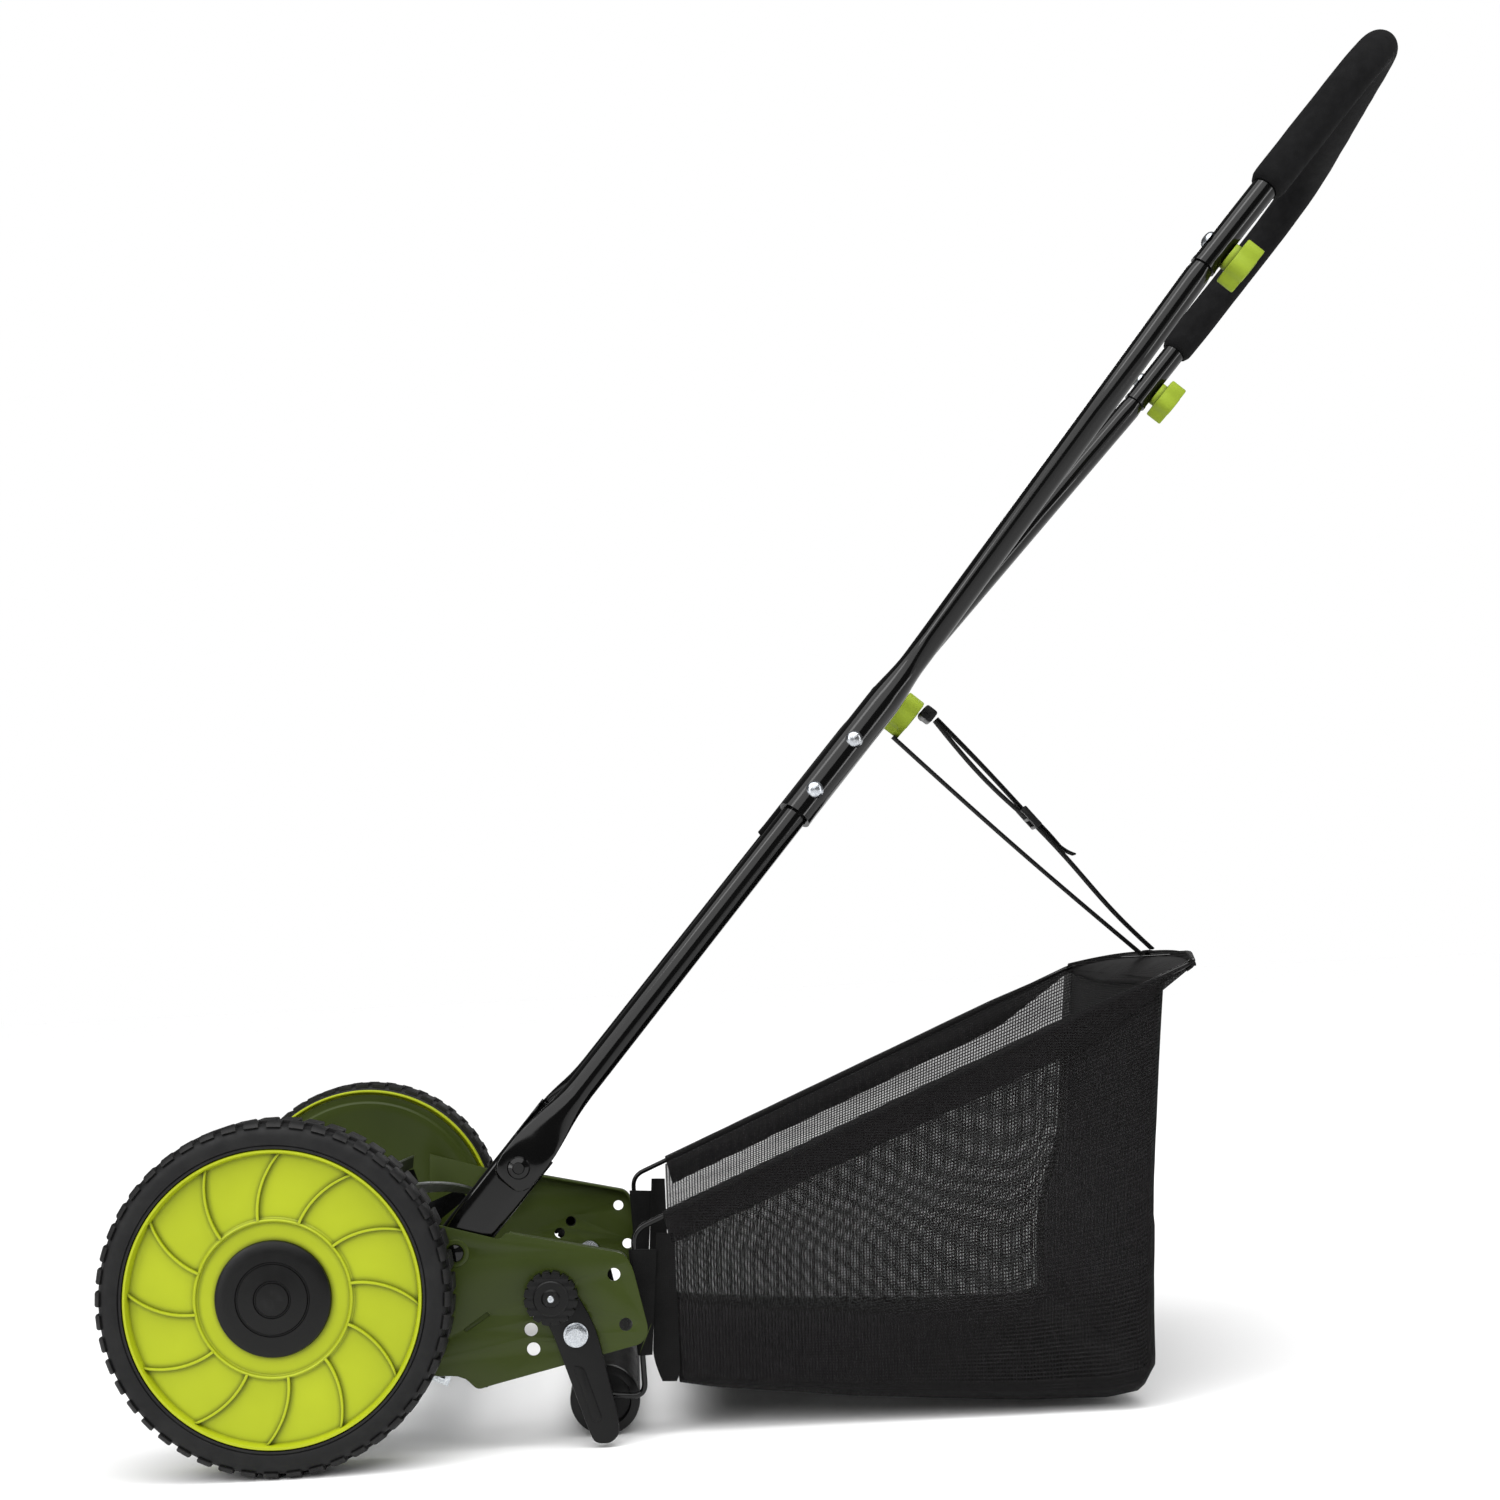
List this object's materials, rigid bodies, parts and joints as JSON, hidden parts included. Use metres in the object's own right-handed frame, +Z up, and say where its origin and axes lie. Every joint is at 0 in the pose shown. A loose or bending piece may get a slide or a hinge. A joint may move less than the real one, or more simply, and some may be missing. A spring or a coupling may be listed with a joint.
{
  "type": "manual reel lawn mower",
  "caption": "Manual push reel lawn mower with spoked plastic wheels, a black tubular handle with a foam grip, a rear roller and a strap-hung mesh grass catcher.",
  "frame": {"origin": "the middle of the footprint, on the floor", "axes": "+X towards the handle and the person pushing, +Y to that person's right, +Z up"},
  "size_m": [1.0792, 0.59, 1.0942],
  "materials": {
    "lime_plastic": "moulded, satin",
    "olive_paint": "satin paint on pressed steel",
    "tyre_rubber": "matt",
    "black_paint": "gloss",
    "black_plastic": "fine grain",
    "zinc": "bright zinc plate",
    "steel": "bare, lightly brushed",
    "grip_foam": "matt closed-cell foam",
    "bag_mesh": "coated mesh cloth",
    "strap_webbing": "woven webbing"
  },
  "bodies": {
    "deck": {"side_plate_left": "olive_paint", "wheel_axle_left": "zinc", "side_plate_right": "olive_paint", "wheel_axle_right": "zinc", "reel_bearing_left": "steel", "reel_bearing_right": "steel", "bed_knife": "steel", "bed_knife_bar": "zinc", "tie_rod": "black_paint", "arm_pivot_bolt_left": "zinc", "arm_pivot_bolt_right": "zinc"},
    "wheel_left": {"wheel_left": "lime_plastic", "tyre_left": "tyre_rubber", "hub_cap_left": "black_plastic"},
    "wheel_right": {"wheel_right": "lime_plastic", "tyre_right": "tyre_rubber", "hub_cap_right": "black_plastic"},
    "drive_left": {"drive_pinion_left": "steel"},
    "drive_right": {"drive_pinion_right": "steel"},
    "reel": {"reel_shaft": "steel", "reel_blade_1": "black_paint", "reel_blade_2": "black_paint", "reel_blade_3": "black_paint", "reel_blade_4": "black_paint", "reel_blade_5": "black_paint", "reel_spider_left": "black_paint", "reel_spider_middle": "black_paint", "reel_spider_right": "black_paint"},
    "handle": {"handle_bracket_left": "black_paint", "bracket_bolt_left": "black_paint", "lower_tube_left": "black_paint", "middle_tube_left": "black_paint", "carriage_bolt_lower_left": "zinc", "carriage_bolt_upper_left": "zinc", "upper_bolt_left": "zinc", "handle_bracket_right": "black_paint", "bracket_bolt_right": "black_paint", "lower_tube_right": "black_paint", "middle_tube_right": "black_paint", "carriage_bolt_lower_right": "zinc", "carriage_bolt_upper_right": "zinc", "upper_bolt_right": "zinc", "handle_brace": "black_paint", "upper_handle": "black_paint", "foam_grip": "grip_foam"},
    "upper_knob_left": {"upper_knob_left": "lime_plastic"},
    "upper_knob_right": {"upper_knob_right": "lime_plastic"},
    "waist_knob": {"waist_knob": "lime_plastic"},
    "height_arms": {"roller_arm_left": "black_plastic", "roller_arm_right": "black_plastic"},
    "height_knob_left": {"height_knob_left": "black_plastic"},
    "height_knob_right": {"height_knob_right": "black_plastic"},
    "roller_axle": {"roller_axle": "steel"},
    "roller": {"roller": "black_plastic"},
    "catcher": {"catcher_frame": "black_paint", "catcher_bag": "bag_mesh"},
    "strap_hook": {"strap_hook": "black_plastic"},
    "strap": {"bag_strap": "strap_webbing", "strap_buckle": "black_plastic"}
  },
  "joints": [
    {"name": "wheel_left_spin", "type": "hinge", "parent": "deck", "child": "wheel_left", "pos_m": [-0.41175, -0.267, 0.128], "axis": [0, -1, 0], "continuous": true},
    {"name": "wheel_right_spin", "type": "hinge", "parent": "deck", "child": "wheel_right", "pos_m": [-0.41175, 0.267, 0.128], "axis": [0, -1, 0], "continuous": true},
    {"name": "drive_left_spin", "type": "hinge", "parent": "deck", "child": "drive_left", "pos_m": [-0.35682, -0.272, 0.12528], "axis": [0, -1, 0], "continuous": true},
    {"name": "drive_right_spin", "type": "hinge", "parent": "deck", "child": "drive_right", "pos_m": [-0.35682, 0.272, 0.12528], "axis": [0, -1, 0], "continuous": true},
    {"name": "reel_spin", "type": "hinge", "parent": "deck", "child": "reel", "pos_m": [-0.35682, 0, 0.12528], "axis": [0, -1, 0], "continuous": true},
    {"name": "handle_tilt", "type": "hinge", "parent": "deck", "child": "handle", "pos_m": [-0.28462, 0, 0.14775], "axis": [0, -1, 0], "range_deg": [-4, 10]},
    {"name": "height_adjust", "type": "hinge", "parent": "deck", "child": "height_arms", "pos_m": [-0.19767, 0, 0.08378], "axis": [0, -1, 0], "range_deg": [0, 77]},
    {"name": "height_knob_left_turn", "type": "hinge", "parent": "height_arms", "child": "height_knob_left", "pos_m": [-0.21456, -0.25, 0.11275], "axis": [0, -1, 0], "range_deg": [0, 360]},
    {"name": "height_knob_right_turn", "type": "hinge", "parent": "height_arms", "child": "height_knob_right", "pos_m": [-0.21456, 0.25, 0.11275], "axis": [0, 1, 0], "range_deg": [0, 360]},
    {"name": "axle_turn", "type": "hinge", "parent": "height_arms", "child": "roller_axle", "pos_m": [-0.17927, 0, 0.0267], "axis": [0, -1, 0], "range_deg": [-77, 0]},
    {"name": "roller_spin", "type": "hinge", "parent": "roller_axle", "child": "roller", "pos_m": [-0.17927, 0, 0.0267], "axis": [0, -1, 0], "continuous": true},
    {"name": "catcher_tilt", "type": "hinge", "parent": "roller_axle", "child": "catcher", "pos_m": [-0.17927, 0, 0.0267], "axis": [0, -1, 0], "range_deg": [-4, 10]},
    {"name": "upper_knob_left_turn", "type": "hinge", "parent": "handle", "child": "upper_knob_left", "pos_m": [0.35275, -0.16, 0.90622], "axis": [0.7544, 0, -0.6564], "range_deg": [0, 360]},
    {"name": "upper_knob_right_turn", "type": "hinge", "parent": "handle", "child": "upper_knob_right", "pos_m": [0.37547, 0.16, 0.88645], "axis": [0.7544, 0, -0.6564], "range_deg": [0, 360]},
    {"name": "waist_knob_turn", "type": "hinge", "parent": "handle", "child": "waist_knob", "pos_m": [0.08709, 0, 0.57799], "axis": [0.7544, 0, -0.6564], "range_deg": [0, 360]},
    {"name": "strap_hook_swing", "type": "hinge", "parent": "handle", "child": "strap_hook", "pos_m": [0.10642, 0, 0.56303], "axis": [0, -1, 0], "range_deg": [0, 15.2]},
    {"name": "strap_swing", "type": "hinge", "parent": "strap_hook", "child": "strap", "pos_m": [0.10642, 0, 0.56303], "axis": [0, -1, 0], "range_deg": [-5.7, 2.4]}
  ],
  "couplings": [
    {"joint": "drive_left_spin", "follows": "wheel_left_spin", "ratio": 5},
    {"joint": "drive_right_spin", "follows": "wheel_right_spin", "ratio": 5},
    {"joint": "reel_spin", "follows": "wheel_left_spin", "ratio": 5},
    {"joint": "axle_turn", "follows": "height_adjust", "ratio": -1},
    {"joint": "catcher_tilt", "follows": "handle_tilt", "ratio": 0.99},
    {"joint": "strap_hook_swing", "follows": "height_adjust", "ratio": 0.197},
    {"joint": "strap_swing", "follows": "handle_tilt", "ratio": -0.56}
  ]
}
